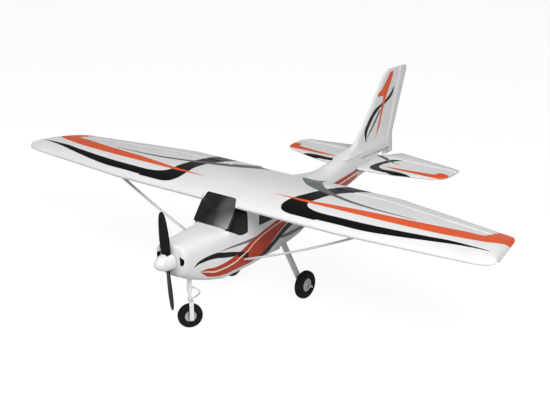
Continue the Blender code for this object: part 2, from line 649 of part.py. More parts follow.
for label, foot, head in (("upper", -163.0, -173.6), ("lower", -186.7, -176.2)):
    path = [(nose_y + 10.4, foot), (nose_y + 23.0, head)]
    link = prism_rings(strip(path, 1.0), 0, -3.2, 3.2)
    turn_at = {"pivot": (lug_x, lug_y, foot), "turn": nose_turn}
    loft(f"scissor_{label}", link, "alloy", **turn_at)

box("battery", (-17.0, 17.0, -52.0, 56.0, -131.6, -106.0), "blue")
box("receiver", (-14.0, 14.0, 66.0, 112.0, -131.6, -118.0), "black")
for label, low in (("rudder", 4.0), ("elevator", -24.0)):
    box(f"{label}_servo", (low, low + 20.0, 150.0, 190.0, -131.6, -96.0), "black")
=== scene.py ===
import math

import bmesh
import bpy
from mathutils import Matrix, Vector


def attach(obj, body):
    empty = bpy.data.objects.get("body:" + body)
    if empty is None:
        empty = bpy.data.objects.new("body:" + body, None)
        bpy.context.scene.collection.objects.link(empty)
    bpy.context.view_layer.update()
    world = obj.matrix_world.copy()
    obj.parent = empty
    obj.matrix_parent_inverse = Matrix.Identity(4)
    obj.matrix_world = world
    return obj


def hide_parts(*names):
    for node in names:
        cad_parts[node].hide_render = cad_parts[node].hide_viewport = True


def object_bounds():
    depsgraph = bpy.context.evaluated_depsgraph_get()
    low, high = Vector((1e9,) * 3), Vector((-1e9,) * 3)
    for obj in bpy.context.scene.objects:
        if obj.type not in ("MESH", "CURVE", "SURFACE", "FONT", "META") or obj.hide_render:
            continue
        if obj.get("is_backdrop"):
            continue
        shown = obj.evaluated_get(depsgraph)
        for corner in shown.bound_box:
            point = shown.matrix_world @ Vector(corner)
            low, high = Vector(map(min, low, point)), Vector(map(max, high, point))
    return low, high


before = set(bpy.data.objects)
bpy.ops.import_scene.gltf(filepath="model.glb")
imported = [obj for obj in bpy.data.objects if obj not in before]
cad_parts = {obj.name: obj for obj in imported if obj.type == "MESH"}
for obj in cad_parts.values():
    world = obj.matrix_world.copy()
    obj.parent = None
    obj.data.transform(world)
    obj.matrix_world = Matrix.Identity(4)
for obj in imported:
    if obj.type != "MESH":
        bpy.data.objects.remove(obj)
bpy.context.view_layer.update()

# all shaping is in millimetres from the wing root's leading edge: x left, y aft, z up
mm = 0.001
shift = Vector((0.0, -275.75, 252.0))
scene = bpy.context.scene
scene.view_settings.view_transform = "Standard"


def toFrame(point):
    return (Vector(point) + shift) * mm


def meshObject(name, bm):
    mesh = bpy.data.meshes.new(name)
    bm.to_mesh(mesh)
    bm.free()
    thing = bpy.data.objects.new(name, mesh)
    scene.collection.objects.link(thing)
    return thing


def smoothPiece(piece, sharp):
    for face in piece.data.polygons:
        face.use_smooth = True
    piece.data.set_sharp_from_angle(angle=math.radians(sharp))
    return piece


def addPiece(name, bm, sharp=35.0):
    for vert in bm.verts:
        vert.co = toFrame(vert.co)
    bmesh.ops.remove_doubles(bm, verts=bm.verts, dist=0.000002)
    bmesh.ops.recalc_face_normals(bm, faces=bm.faces)
    return smoothPiece(meshObject(name, bm), sharp)


def loftInto(bm, sections):
    # the first section is laid down as a ring, each next one is extruded from the last
    verts = [bm.verts.new(point) for point in sections[0]]
    count = len(verts)
    for i in range(count):
        bm.edges.new((verts[i], verts[(i + 1) % count]))

    def ringEdges(ring):
        return [bm.edges.get((ring[i], ring[(i + 1) % count])) for i in range(count)]

    bmesh.ops.contextual_create(bm, geom=ringEdges(verts))
    for section in sections[1:]:
        made = bmesh.ops.extrude_edge_only(bm, edges=ringEdges(verts))["geom"]
        fresh = {item for item in made if isinstance(item, bmesh.types.BMVert)}
        following = []
        for vert in verts:
            ends = (edge.other_vert(vert) for edge in vert.link_edges)
            following.append(next(end for end in ends if end in fresh))
        for vert, point in zip(following, section):
            vert.co = point
        verts = following
    bmesh.ops.contextual_create(bm, geom=ringEdges(verts))
    return bm


def loftPiece(name, sections, sharp=35.0):
    return addPiece(name, loftInto(bmesh.new(), sections), sharp)


def spinInto(bm, profile, centre, axis, steps=64):
    axis = Vector(axis).normalized()
    side = axis.orthogonal().normalized()
    centre = Vector(centre)
    verts = [bm.verts.new(centre + side * radius + axis * along) for radius, along in profile]
    edges = [bm.edges.new(pair) for pair in zip(verts, verts[1:])]
    if profile[0][0] > 0.0 and profile[-1][0] > 0.0:
        edges.append(bm.edges.new((verts[-1], verts[0])))
    bmesh.ops.spin(bm, geom=verts + edges, cent=centre, axis=axis, angle=math.tau, steps=steps,
                   use_merge=True)
    bmesh.ops.remove_doubles(bm, verts=bm.verts, dist=0.001)
    return bm


def spinPiece(name, profile, centre, axis, steps=64, sharp=35.0):
    return addPiece(name, spinInto(bmesh.new(), profile, centre, axis, steps), sharp)


def roundEdges(bm, edges, width):
    bmesh.ops.bevel(bm, geom=list(edges), offset=width, segments=2, profile=0.5, affect="EDGES",
                    material=-1)


def boxInto(bm, low, high, bevel=0.0):
    made = bmesh.ops.create_cube(bm, size=1.0)["verts"]
    low, high = Vector(low), Vector(high)
    bmesh.ops.scale(bm, vec=high - low, verts=made)
    bmesh.ops.translate(bm, vec=(low + high) / 2, verts=made)
    if bevel:
        roundEdges(bm, {e for v in made for e in v.link_edges}, bevel)
    return bm


def cutBox(x0, x1, y0, y1, z0, z1):
    return addPiece("cutter", boxInto(bmesh.new(), (x0, y0, z0), (x1, y1, z1)))


def cutHole(radius, deep, at, axis):
    return spinPiece("cutter", [(0, 0), (radius, 0), (radius, deep), (0, deep)], at, axis, 32)


def platePiece(name, outline, axis, low, high, bevel=0.0):
    bm = bmesh.new()
    verts = []
    for a, b in outline:
        point = [a, b]
        point.insert(axis, low)
        verts.append(bm.verts.new(point))
    face = bm.faces.new(verts)
    made = bmesh.ops.extrude_face_region(bm, geom=[face])["geom"]
    lift = [0.0, 0.0, 0.0]
    lift[axis] = high - low
    bmesh.ops.translate(bm, vec=lift, verts=[v for v in made if isinstance(v, bmesh.types.BMVert)])
    if bevel:
        bmesh.ops.recalc_face_normals(bm, faces=bm.faces)
        roundEdges(bm, bm.edges[:], bevel)
    return addPiece(name, bm)


def carve(piece, cutters, operation="DIFFERENCE", sharp=35.0):
    for cutter in cutters:
        change = piece.modifiers.new("carve", "BOOLEAN")
        change.operation = operation
        change.solver = "EXACT"
        change.object = cutter
    shaped = piece.evaluated_get(bpy.context.evaluated_depsgraph_get())
    mesh = bpy.data.meshes.new_from_object(shaped)
    piece.modifiers.clear()
    piece.data = mesh
    mesh.name = piece.name
    for cutter in cutters:
        bpy.data.objects.remove(cutter)
    return smoothPiece(piece, sharp)


def turnPiece(piece, centre, angle, axis):
    about = Matrix.Translation(toFrame(centre))
    piece.data.transform(about @ Matrix.Rotation(angle, 4, axis) @ about.inverted())


def flipPiece(name, piece):
    mesh = piece.data.copy()
    bm = bmesh.new()
    bm.from_mesh(mesh)
    bmesh.ops.scale(bm, vec=(-1.0, 1.0, 1.0), verts=bm.verts)
    bmesh.ops.reverse_faces(bm, faces=bm.faces)
    bm.to_mesh(mesh)
    bm.free()
    mesh.name = name
    twin = bpy.data.objects.new(name, mesh)
    scene.collection.objects.link(twin)
    return twin


def fitIn(piece, body, node):
    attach(piece, body)
    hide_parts(node)


def fitPair(piece, body, node):
    # a piece on the left and its mirrored twin on the right
    fitIn(piece, body, node)
    name, body, node = (text.replace("left", "right") for text in (piece.name, body, node))
    fitIn(flipPiece(name, piece), body, node)


def easedTable(rows, straight=()):
    # smooth rows of numbers over their first column without overshoot
    keys = [row[0] for row in rows]
    width = len(rows[0]) - 1
    slopes = []
    for k in range(1, width + 1):
        steps = [(rows[i + 1][k] - rows[i][k]) / (keys[i + 1] - keys[i]) for i in range(len(rows) - 1)]
        line = [steps[0]]
        for a, b in zip(steps, steps[1:]):
            line.append(2 * a * b / (a + b) if a * b > 0 else 0.0)
        slopes.append(line + [steps[-1]])

    def look(key):
        key = min(max(key, keys[0]), keys[-1])
        i = max(j for j in range(len(keys) - 1) if keys[j] <= key)
        gap = keys[i + 1] - keys[i]
        t = (key - keys[i]) / gap
        values = []
        for k in range(width):
            a, b = rows[i][k + 1], rows[i + 1][k + 1]
            if i in straight:
                values.append(a + (b - a) * t)
                continue
            m, n = slopes[k][i] * gap, slopes[k][i + 1] * gap
            values.append((2 * t**3 - 3 * t**2 + 1) * a + (t**3 - 2 * t**2 + t) * m
                          + (3 * t**2 - 2 * t**3) * b + (t**3 - t**2) * n)
        return values

    return look


def signedPower(value, exponent):
    return math.copysign(abs(value) ** exponent, value)


def circlePoints(count):
    return [(math.cos(math.tau * i / count), math.sin(math.tau * i / count)) for i in range(count)]


def onLine(ends, z):
    # y at height z on the line through two points, each y and z
    (footY, footZ), (headY, headZ) = ends
    return footY + (z - footZ) * (headY - footY) / (headZ - footZ)


# shader building

def socketGroup(name, inputs, outputs):
    tree = bpy.data.node_groups.new(name, "ShaderNodeTree")
    for way, sockets in (("INPUT", inputs), ("OUTPUT", outputs)):
        for label, kind in sockets.items():
            tree.interface.new_socket(label, in_out=way, socket_type="NodeSocket" + kind)
    return tree, tree.nodes.new("NodeGroupInput"), tree.nodes.new("NodeGroupOutput")


def feed(tree, node, values):
    # a socket is linked, anything else is set
    for slot, value in values.items():
        if isinstance(value, bpy.types.NodeSocket):
            tree.links.new(value, node.inputs[slot])
        else:
            node.inputs[slot].default_value = value
    return node


def newNode(tree, kind, values, **settings):
    node = tree.nodes.new("ShaderNode" + kind)
    for label, setting in settings.items():
        setattr(node, label, setting)
    return feed(tree, node, values)


def mathNode(tree, operation, *values):
    return newNode(tree, "Math", dict(enumerate(values)), operation=operation).outputs[0]


def rangeNode(tree, value, low, high, toLow=0.0, toHigh=1.0):
    values = {"Value": value, "From Min": low, "From Max": high, "To Min": toLow, "To Max": toHigh}
    return newNode(tree, "MapRange", values).outputs["Result"]


def mixColour(tree, factor, first, second):
    first, second = ((*paint, 1.0) if isinstance(paint, tuple) else paint for paint in (first, second))
    return newNode(tree, "Mix", {0: factor, 6: first, 7: second}, data_type="RGBA").outputs[2]


def edgeLine(tree, along, points):
    # a traced edge: distance across as a curve over distance along
    a0, a1 = points[0][0], points[-1][0]
    low = min(p[1] for p in points) - 1.0
    high = max(p[1] for p in points) + 1.0
    node = newNode(tree, "FloatCurve", {"Value": rangeNode(tree, along, a0, a1)})
    curve = node.mapping.curves[0]
    spots = [((a - a0) / (a1 - a0), (b - low) / (high - low)) for a, b in points]
    for spot in spots[1:-1]:
        curve.points.new(*spot)
    curve.points[0].location = spots[0]
    curve.points[-1].location = spots[-1]
    for point in curve.points:
        point.handle_type = "AUTO_CLAMPED"
    node.mapping.update()
    return mathNode(tree, "MULTIPLY_ADD", node.outputs[0], high - low, low)


def bandMask(tree, along, across, lowEdge, highEdge, soft=0.35):
    start = max(lowEdge[0][0], highEdge[0][0])
    end = min(lowEdge[-1][0], highEdge[-1][0])
    above = mathNode(tree, "SUBTRACT", across, edgeLine(tree, along, lowEdge))
    below = mathNode(tree, "SUBTRACT", edgeLine(tree, along, highEdge), across)
    between = mathNode(tree, "MULTIPLY", rangeNode(tree, above, -soft, soft),
                       rangeNode(tree, below, -soft, soft))
    inside = mathNode(tree, "MULTIPLY", rangeNode(tree, along, start - soft, start + soft),
                      rangeNode(tree, along, end + soft, end - soft))
    return mathNode(tree, "MULTIPLY", between, inside)


paintColours = {
    "orange": (0.80, 0.115, 0.032),
    # orangeShaded: the orange paint darkened, painted shade for the fuselage's sides
    "orangeShaded": (0.44, 0.046, 0.024),
    "black": (0.004, 0.004, 0.0045),
    "gray": (0.14, 0.158, 0.162),
    "cream": (0.80, 0.68, 0.52),
    "glass": (0.006, 0.006, 0.007),
    "foam": (0.80, 0.80, 0.805),
}

# each stripe: the axis along it, the axis across it, its paint, its two edges in millimetres
wingStripes = {
    "blackTurn": ("y", "x", "black",
        [(12, 178), (15, 161), (26, 147), (44, 142), (70, 145), (105, 152), (146, 155), (198, 156),
         (266, 157)],
        [(12, 241), (36, 241), (38, 227), (41, 214), (45, 203), (50, 196), (56, 191), (63, 188.5),
         (92, 192), (130, 194), (168, 199), (203, 206), (266, 220)]),
    "blackSweep": ("x", "y", "black",
        [(161, 15), (182, 13), (209, 13), (246, 14.5), (288, 15.5), (344, 16.5), (404, 23), (476, 35),
         (545, 48), (602, 55)],
        [(161, 64), (187, 63), (191, 56), (196, 50), (203, 45), (214, 41), (227, 38), (241, 37),
         (277, 37.5), (327, 38.5), (398, 43), (472, 50.5), (540, 57), (602, 56.5)]),
    "graySweep": ("x", "y", "gray",
        [(40, 246), (70, 209), (99, 179), (128, 160), (182, 139), (212, 129), (268, 114), (334, 110),
         (412, 113)],
        [(40, 290), (90, 290), (99, 243), (125, 208), (151, 181), (199, 150), (248, 131), (308, 119),
         (412, 115)]),
    "orangeSweep": ("x", "y", "orange",
        [(92, 67), (134, 66), (181, 64), (255, 65), (340, 66), (419, 69), (494, 75), (545, 84), (575, 92),
         (592, 104), (604, 124), (615, 160), (626, 200)],
        [(92, 67.5), (131, 71), (187, 75), (244, 83), (322, 93), (400, 102), (472, 114), (524, 124),
         (549, 127), (556, 142), (560, 230), (626, 230)]),
}

bodyStripes = {
    "grayUpper": ("y", "z", "gray",
        [(-52, -83.5), (-22, -86), (27, -90), (68, -93), (110, -90)],
        [(-52, -83), (-22, -82.5), (27, -84.5), (68, -85), (110, -78)]),
    "grayLower": ("y", "z", "gray",
        [(146, -115), (189, -121), (224, -122), (259, -121), (330, -112)],
        [(146, -109), (188, -112), (214, -112), (241, -112), (330, -111)]),
    "blackNose": ("y", "z", "black",
        [(-127, -96), (-108, -92.5), (-72, -94), (-36, -102), (9, -113), (40, -126)],
        [(-127, -95), (-108, -85.5), (-71, -83), (-36, -90), (9, -103), (40, -116)]),
    "blackTail": ("y", "z", "black",
        [(36, -126), (62, -139), (102, -141), (127, -129), (150, -117), (171, -107), (205, -97),
         (300, -84)],
        [(36, -112), (62, -120), (89, -125), (100, -122), (126, -110), (150, -98), (181, -84), (300, -83)]),
    # this band takes the darkened orange, painted shade on the fuselage's side
    "orangeShadedBand": ("y", "z", "orangeShaded",
        [(-107, -113), (-92, -125), (-77, -133), (-34, -141), (30, -142), (70, -138), (100, -127),
         (126, -113), (150, -101), (181, -88), (250, -82), (340, -79), (430, -77), (470, -80), (506, -88)],
        [(-107, -110), (-95, -110), (-62, -114), (-23, -111), (13, -103), (45, -92), (76, -83),
         (110, -76), (150, -69), (230, -62), (320, -57), (400, -54), (506, -49)]),
    "blackCross": ("y", "z", "black",
        [(4, -112), (20, -119), (40, -128)],
        [(4, -102), (20, -107), (40, -114)]),
    "creamUpper": ("y", "z", "cream",
        [(-107, -112.5), (-87, -119.5), (-49, -127), (-8, -125), (13, -119), (36, -112), (60, -99.5),
         (110, -86), (150, -80), (300, -71), (410, -67), (506, -62)],
        [(-107, -111), (-87, -116.5), (-49, -123), (-8, -121), (13, -115), (36, -108.5), (60, -96),
         (110, -83), (150, -77.5), (300, -69), (410, -64), (506, -56)]),
    "creamLower": ("y", "z", "cream",
        [(112, -121), (126, -114.5), (142, -106), (154, -100), (183, -88.5), (260, -82)],
        [(112, -121), (126, -112.5), (142, -103), (154, -97), (183, -86), (260, -81)]),
    "frontWindow": ("y", "z", "glass",
        [(-25, -47), (-6, -57), (14, -67), (26, -68), (36, -67), (38, -64)],
        [(-25, -46), (-14, -29), (-3, -11), (20, -11), (30, -11), (38, -11)]),
    "rearWindow": ("y", "z", "glass",
        [(76, -61), (80, -63.5), (100, -63.5), (126, -63), (131, -60), (134, -52)],
        [(76, -11), (90, -11), (100, -11), (112, -11), (120, -12), (134, -48)]),
}

finStripes = {
    "finBlack": ("z", "y", "black",
        [(2, 558), (26, 554), (47, 566), (65, 583), (78, 602), (86, 628), (102, 665), (120, 685)],
        [(2, 561), (26, 567), (47, 583), (65, 603), (78, 628), (86, 653), (102, 680), (120, 688)]),
    "finGray": ("z", "y", "gray",
        [(11, 564), (38, 589), (72, 620)],
        [(11, 568), (38, 599), (72, 629)]),
    "finOrange": ("z", "y", "orange",
        [(4, 604), (38, 617), (58, 624), (88, 633), (104, 636), (107, 611), (122, 629), (142, 650),
         (160, 667)],
        [(4, 605), (31, 623), (57, 632), (92, 646), (129, 667), (148, 678), (160, 683)]),
}

tailStripes = {
    "tailTurn": ("y", "x", "black",
        [(508, 64), (517, 47), (534, 41), (575, 46), (600, 55), (611.8, 68)],
        [(508, 92), (521, 82), (530, 66), (550, 58), (576, 63), (600, 73), (611.8, 86)]),
    "tailSweep": ("x", "y", "black",
        [(47, 517), (60, 509), (92, 509), (135, 511), (189, 518)],
        [(47, 524), (65, 530), (81, 524), (114, 526), (157, 523), (189, 519)]),
    "tailGray": ("x", "y", "gray",
        [(7, 612), (34, 598), (57, 586), (96, 575)],
        [(7, 622), (34, 614), (57, 594), (96, 576)]),
    "tailOrange": ("x", "y", "orange",
        [(65, 546), (101, 541), (147, 540), (207, 543), (226, 556), (233, 574)],
        [(65, 546.5), (94, 550), (138, 554), (189, 561), (200, 563), (206, 582), (226, 580), (233, 575)]),
}


def trimGroup(name, stripes, upperOnly):
    tree, start, end = socketGroup(name, {"Position": "Vector", "Normal": "Vector"},
                                   {"Color": "Color", "Paint": "Float"})
    place = newNode(tree, "VectorMath", {0: start.outputs["Position"], 1: (1.0 / mm,) * 3, 2: -shift},
                    operation="MULTIPLY_ADD")
    split = newNode(tree, "SeparateXYZ", {0: place.outputs[0]})
    reach = {"x": mathNode(tree, "ABSOLUTE", split.outputs["X"]), "y": split.outputs["Y"],
             "z": split.outputs["Z"]}
    facing = None
    if upperOnly:
        turn = newNode(tree, "SeparateXYZ", {0: start.outputs["Normal"]})
        facing = rangeNode(tree, turn.outputs["Z"], 0.0, 0.1)
    colour, cover = paintColours["foam"], 0.0
    for along, across, paint, lowEdge, highEdge in stripes.values():
        mask = bandMask(tree, reach[along], reach[across], lowEdge, highEdge)
        if facing:
            mask = mathNode(tree, "MULTIPLY", mask, facing)
        colour = mixColour(tree, mask, colour, paintColours[paint])
        cover = mathNode(tree, "MAXIMUM", cover, mask)
    feed(tree, end, {"Color": colour, "Paint": cover})
    return tree


# scales per metre, the depth of the bumps in metres, what paint adds to the roughness
texture = {"beads": 300.0, "broad": 14.0, "marks": 45.0, "depth": 0.0002, "paint": -0.16}


def beadGroup():
    # moulded foam: pressed beads of a few millimetres, with a faint tone from bead to bead
    tree, start, end = socketGroup("foamBeads", {"Position": "Vector"},
                                   {"Height": "Float", "Tone": "Float", "Rough": "Float"})
    place = start.outputs["Position"]
    spots = {"Vector": place, "Scale": texture["beads"]}
    cells = newNode(tree, "TexVoronoi", spots, feature="DISTANCE_TO_EDGE")
    tint = newNode(tree, "TexVoronoi", spots)
    broad = newNode(tree, "TexNoise", {"Vector": place, "Scale": texture["broad"], "Detail": 3.0})
    split = newNode(tree, "SeparateColor", {0: tint.outputs["Color"]})
    tone = mathNode(tree, "ADD", rangeNode(tree, split.outputs[0], 0.0, 1.0, 0.978, 1.0),
                    rangeNode(tree, broad.outputs["Fac"], 0.3, 0.7, -0.015, 0.01))
    feed(tree, end, {"Height": rangeNode(tree, cells.outputs["Distance"], 0.0, 0.16), "Tone": tone,
                     "Rough": rangeNode(tree, broad.outputs["Fac"], 0.3, 0.7, 0.42, 0.58)})
    return tree


def grainGroup():
    # fine moulded or brushed grain at the material's own scale, with handling marks
    tree, start, end = socketGroup("fineGrain", {"Position": "Vector", "Scale": "Float"},
                                   {"Height": "Float", "Mark": "Float"})
    place = start.outputs["Position"]
    fine = newNode(tree, "TexNoise", {"Vector": place, "Scale": start.outputs["Scale"], "Detail": 4.0})
    marks = newNode(tree, "TexNoise", {"Vector": place, "Scale": texture["marks"], "Detail": 5.0})
    feed(tree, end, {"Height": fine.outputs["Fac"],
                     "Mark": rangeNode(tree, marks.outputs["Fac"], 0.35, 0.7)})
    return tree


beads = beadGroup()
grain = grainGroup()


def startMaterial(name, group, bumpStrength, specular):
    material = bpy.data.materials.new(name)
    material.use_nodes = True
    tree = material.node_tree
    place = newNode(tree, "TexCoord", {})
    surface = newNode(tree, "Group", {"Position": place.outputs["Object"]}, node_tree=group)
    bump = newNode(tree, "Bump", {"Strength": bumpStrength, "Distance": texture["depth"],
                                  "Height": surface.outputs["Height"]})
    shader = feed(tree, tree.nodes["Principled BSDF"],
                  {"Specular IOR Level": specular, "Normal": bump.outputs["Normal"]})
    return material, tree, shader, place, surface


def foamMaterial(name, stripes, upperOnly=False):
    material, tree, shader, place, surface = startMaterial(name, beads, bumpStrength=0.16, specular=0.11)
    where = {"Position": place.outputs["Object"], "Normal": place.outputs["Normal"]}
    trim = newNode(tree, "Group", where, node_tree=trimGroup(name + "Trim", stripes, upperOnly))
    tone = newNode(tree, "VectorMath", {0: trim.outputs["Color"], "Scale": surface.outputs["Tone"]},
                   operation="SCALE")
    rough = mathNode(tree, "MULTIPLY_ADD", trim.outputs["Paint"], texture["paint"],
                     surface.outputs["Rough"])
    feed(tree, shader, {"Base Color": tone.outputs["Vector"], "Roughness": rough})
    return material


def plainMaterial(name, colour, rough, metal=0.0, scale=900.0, bumpStrength=0.06, marked=0.12, coat=0.0,
                  specular=0.25):
    material, tree, shader, _, surface = startMaterial(name, grain, bumpStrength, specular)
    feed(tree, surface, {"Scale": scale})
    mark = surface.outputs["Mark"]
    lighter = tuple(min(1.0, c * (1.0 + marked) + 0.02 * marked) for c in colour)
    worn = rangeNode(tree, mark, 0.0, 1.0, rough, min(1.0, rough + 0.1))
    feed(tree, shader, {"Base Color": mixColour(tree, mark, colour, lighter), "Roughness": worn,
                        "Metallic": metal, "Coat Weight": coat})
    return material


wingFoam = foamMaterial("wingFoam", wingStripes, True)
bodyFoam = foamMaterial("bodyFoam", bodyStripes)
finFoam = foamMaterial("finFoam", finStripes)
tailFoam = foamMaterial("tailFoam", tailStripes, True)
spinnerGloss = plainMaterial("spinnerGloss", (0.80, 0.80, 0.81), 0.24, marked=0.02, bumpStrength=0.02,
                             coat=0.3)
screenGloss = plainMaterial("screenGloss", (0.011, 0.009, 0.008), 0.2, marked=0.2, bumpStrength=0.015,
                            specular=0.4)

# painted reflection: a soft light patch painted low on the screen, towards its left pillar, in metres of
# the frame
screenPaintedSheen = {"colour": (0.34, 0.34, 0.36), "x": (0.004, 0.043), "z": (0.243, 0.211)}
tree = screenGloss.node_tree
shader = tree.nodes["Principled BSDF"]
spot = newNode(tree, "SeparateXYZ", {0: tree.nodes["Texture Coordinate"].outputs["Object"]})
paintedSheen = mathNode(tree, "MULTIPLY", rangeNode(tree, spot.outputs["X"], *screenPaintedSheen["x"]),
                 rangeNode(tree, spot.outputs["Z"], *screenPaintedSheen["z"]))
dark = shader.inputs["Base Color"].links[0].from_socket
# the painted reflection is mixed over the screen's own dark colour
feed(tree, shader, {"Base Color": mixColour(tree, paintedSheen, dark, screenPaintedSheen["colour"])})

bladePlastic = plainMaterial("bladePlastic", (0.006, 0.006, 0.0065), 0.4, scale=1400.0, specular=0.12)
smallPlastic = plainMaterial("smallPlastic", (0.016, 0.016, 0.017), 0.42)
tyreFoam = plainMaterial("tyreFoam", (0.007, 0.007, 0.0073), 0.72, scale=1600.0, bumpStrength=0.3,
                         marked=0.5, specular=0.1)
hubPlastic = plainMaterial("hubPlastic", (0.50, 0.51, 0.52), 0.38, marked=0.05)
strutGrey = plainMaterial("strutGrey", (0.68, 0.69, 0.70), 0.40, marked=0.05)
hornPlastic = plainMaterial("hornPlastic", (0.70, 0.70, 0.70), 0.45, marked=0.04)
legAlloy = plainMaterial("legAlloy", (0.86, 0.86, 0.87), 0.36, metal=0.3, scale=1200.0, marked=0.05)
brightSteel = plainMaterial("brightSteel", (0.66, 0.66, 0.67), 0.22, metal=1.0, marked=0.06)
motorAlloy = plainMaterial("motorAlloy", (0.35, 0.36, 0.38), 0.34, metal=1.0)
batteryWrap = plainMaterial("batteryWrap", (0.03, 0.07, 0.25), 0.4, scale=200.0, bumpStrength=0.2)
carbonTube = plainMaterial("carbonTube", (0.02, 0.02, 0.022), 0.34, scale=2500.0, bumpStrength=0.12)
print("materials ready")


def dress(piece, material):
    piece.data.materials.clear()
    piece.data.materials.append(material)
    return piece


# camera and studio

def aimAt(name, data, spot, towards):
    thing = bpy.data.objects.new(name, data)
    thing.location = spot
    thing.rotation_euler = (Vector(towards) - Vector(spot)).to_track_quat("-Z", "Y").to_euler()
    scene.collection.objects.link(thing)
    return thing


view = {"at": (1.4244, -1.9385, 1.0229), "towards": (0.0, -0.0783, 0.1794), "lens": 72.26, "sensor": 36.0}
cameraData = bpy.data.cameras.new("photoView")
cameraData.lens = view["lens"]
cameraData.sensor_width = view["sensor"]
cameraData.sensor_fit = "HORIZONTAL"
scene.camera = aimAt("photoView", cameraData, view["at"], view["towards"])

# each lamp: its name, place, aim, size and watts
studio = {"floor": 14.0, "shadow": 0.28, "glow": 1.27, "ambient": 0.20, "bounce": 0.55,
          "lamps": (("key", (2.1, -1.7, 2.1), (0.0, 0.0, 0.15), 1.2, 70.0),
                    ("overhead", (-0.4, -1.5, 3.0), (0.0, 0.0, 0.15), 2.2, 39.0),
                    ("nose", (-1.3, -3.0, 1.5), (0.0, -0.2, 0.2), 1.6, 7.0))}
bm = bmesh.new()
bmesh.ops.create_grid(bm, x_segments=1, y_segments=1, size=studio["floor"])
floor = meshObject("studioFloor", bm)
floor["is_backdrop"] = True
floorPaint = bpy.data.materials.new("floorPaint")
floorPaint.use_nodes = True
tree = floorPaint.node_tree
shader = feed(tree, tree.nodes["Principled BSDF"],
              {"Base Color": (studio["bounce"],) * 3 + (1.0,), "Roughness": 0.9, "Specular IOR Level": 0.0})
glow = newNode(tree, "Emission", {"Strength": studio["glow"]})
rays = newNode(tree, "LightPath", {})
seen = mathNode(tree, "MAXIMUM", rays.outputs["Is Camera Ray"], rays.outputs["Is Glossy Ray"])
share = mathNode(tree, "MULTIPLY", seen, 1.0 - studio["shadow"])
blend = newNode(tree, "MixShader", {0: share, 1: shader.outputs[0], 2: glow.outputs[0]})
feed(tree, tree.nodes["Material Output"], {0: blend.outputs[0]})
floor.data.materials.append(floorPaint)

world = bpy.data.worlds.new("studioAir")
world.use_nodes = True
scene.world = world
tree = world.node_tree
rays = newNode(tree, "LightPath", {})
seen = mathNode(tree, "MAXIMUM", rays.outputs["Is Camera Ray"], rays.outputs["Is Transmission Ray"])
strength = rangeNode(tree, seen, 0.0, 1.0, studio["ambient"], 1.0)
feed(tree, tree.nodes["Background"], {"Strength": strength, "Color": (1.0, 1.0, 1.0, 1.0)})
for label, spot, towards, size, watts in studio["lamps"]:
    lampData = bpy.data.lights.new(label, "AREA")
    lampData.size = size
    lampData.energy = watts
    aimAt(label, lampData, spot, towards)
print("camera and studio set")


# fuselage

body = {
    # along, half width, top, bottom, squareness above and below
    "stations": (
        (-151.0, 37.5, -49.5, -113.5, 2.8, 2.7), (-147.5, 40.0, -47.5, -116.5, 2.9, 2.8),
        (-138.0, 41.5, -46.0, -121.5, 3.0, 2.9), (-120.0, 43.0, -45.2, -131.0, 3.1, 3.0),
        (-90.0, 45.0, -44.5, -142.0, 3.4, 3.4),
        (-55.0, 47.5, -45.0, -152.0, 4.5, 4.0), (-26.9, 49.0, -46.0, -158.0, 6.0, 4.0),
        (-2.3, 49.5, -12.5, -160.0, 8.0, 4.0), (60.0, 50.0, -12.5, -159.0, 8.0, 4.0),
        (105.0, 49.5, -12.5, -157.0, 8.0, 4.0), (150.0, 49.0, -12.5, -153.5, 8.0, 4.0),
        (238.0, 46.0, -12.5, -143.5, 6.0, 3.6),
        (258.0, 43.5, -12.5, -140.0, 4.5, 3.4), (300.0, 38.0, -18.0, -130.5, 3.2, 3.2),
        (370.0, 31.0, -25.0, -113.0, 2.8, 2.8), (430.0, 26.0, -16.0, -101.0, 2.5, 2.6),
        (480.0, 22.5, -7.0, -89.0, 2.4, 2.5), (540.0, 17.0, -3.4, -78.0, 2.4, 2.4),
        (611.0, 11.5, -3.4, -68.0, 2.4, 2.4), (664.0, 7.0, -3.4, -57.0, 2.4, 2.4)),
    "around": 88, "step": 7.0, "thrust": -82.0, "cowlRound": ((0.0, 2.6), (0.7, 1.0), (2.4, 0.0)),
    "hood": (-38.0, 38.0, -112.0, -29.0, -53.0, 0.0), "hoodGap": 0.4,
    "boom": ((210, 34, -24, -128), (300, 28, -30, -120), (370, 21, -37, -104), (478, 14, -25, -80)),
    "intake": ((27.0, -6.0), (34.0, -5.0), (37.4, 0.0), (37.4, 9.0), (25.5, 14.0)),
    # intakeWalls: limits of the intake faces that get painted shade
    "intakeDeep": (-160, -122), "intakeWalls": ((25.0, 37.6), (-149.0, -121.0), (-6.5, 13.5)),
    "rudderLine": ((645.0, -50.0), (712.0, 165.0)), "noseHole": (5.7, 50, (0, -96, -160)),
}
screen = {
    "line": ((-26.9, -44.7), (14.5, 12.3)), "slope": (-0.81, 0.59), "foot": -43.2, "tall": 55.5,
    "corner": 1.6,
    # share of the height, half width
    "edge": ((0.0, 46.0), (0.04, 46.2), (0.35, 46.2), (0.66, 46.0), (0.96, 39.0), (1.0, 38.4)),
    # lift off the hood, drawn in
    "layers": ((0.0, 0.6), (0.5, 0.0), (1.9, 0.0), (2.4, 0.6)),
}
# x, y and z limits of what is hollowed out of the fuselage
hollows = {
    "noseBay": (-30, 30, -111, -60, -120, -51), "mainBay": (-36, 36, -61, 216, -132, -56),
    "underWing": (-35, 35, 12, 206, -70, 0), "stabSlot": (-40, 40, 493, 640, -53.9, -44.1),
    "elevatorRoom": (-40, 40, 608, 700, -61, -37), "leftRod": (14.2, 17.8, 440, 575, -30.8, -27.2),
    "rightRod": (-21.7, -18.1, 425, 520, -65.8, -62.2), "legSlot": (-60, 60, 162.1, 180.9, -139.7, -136.3),
}
# the rise from the hood to the cabin roof, under the screen, stays straight
bodyShape = easedTable(body["stations"], straight=(6,))


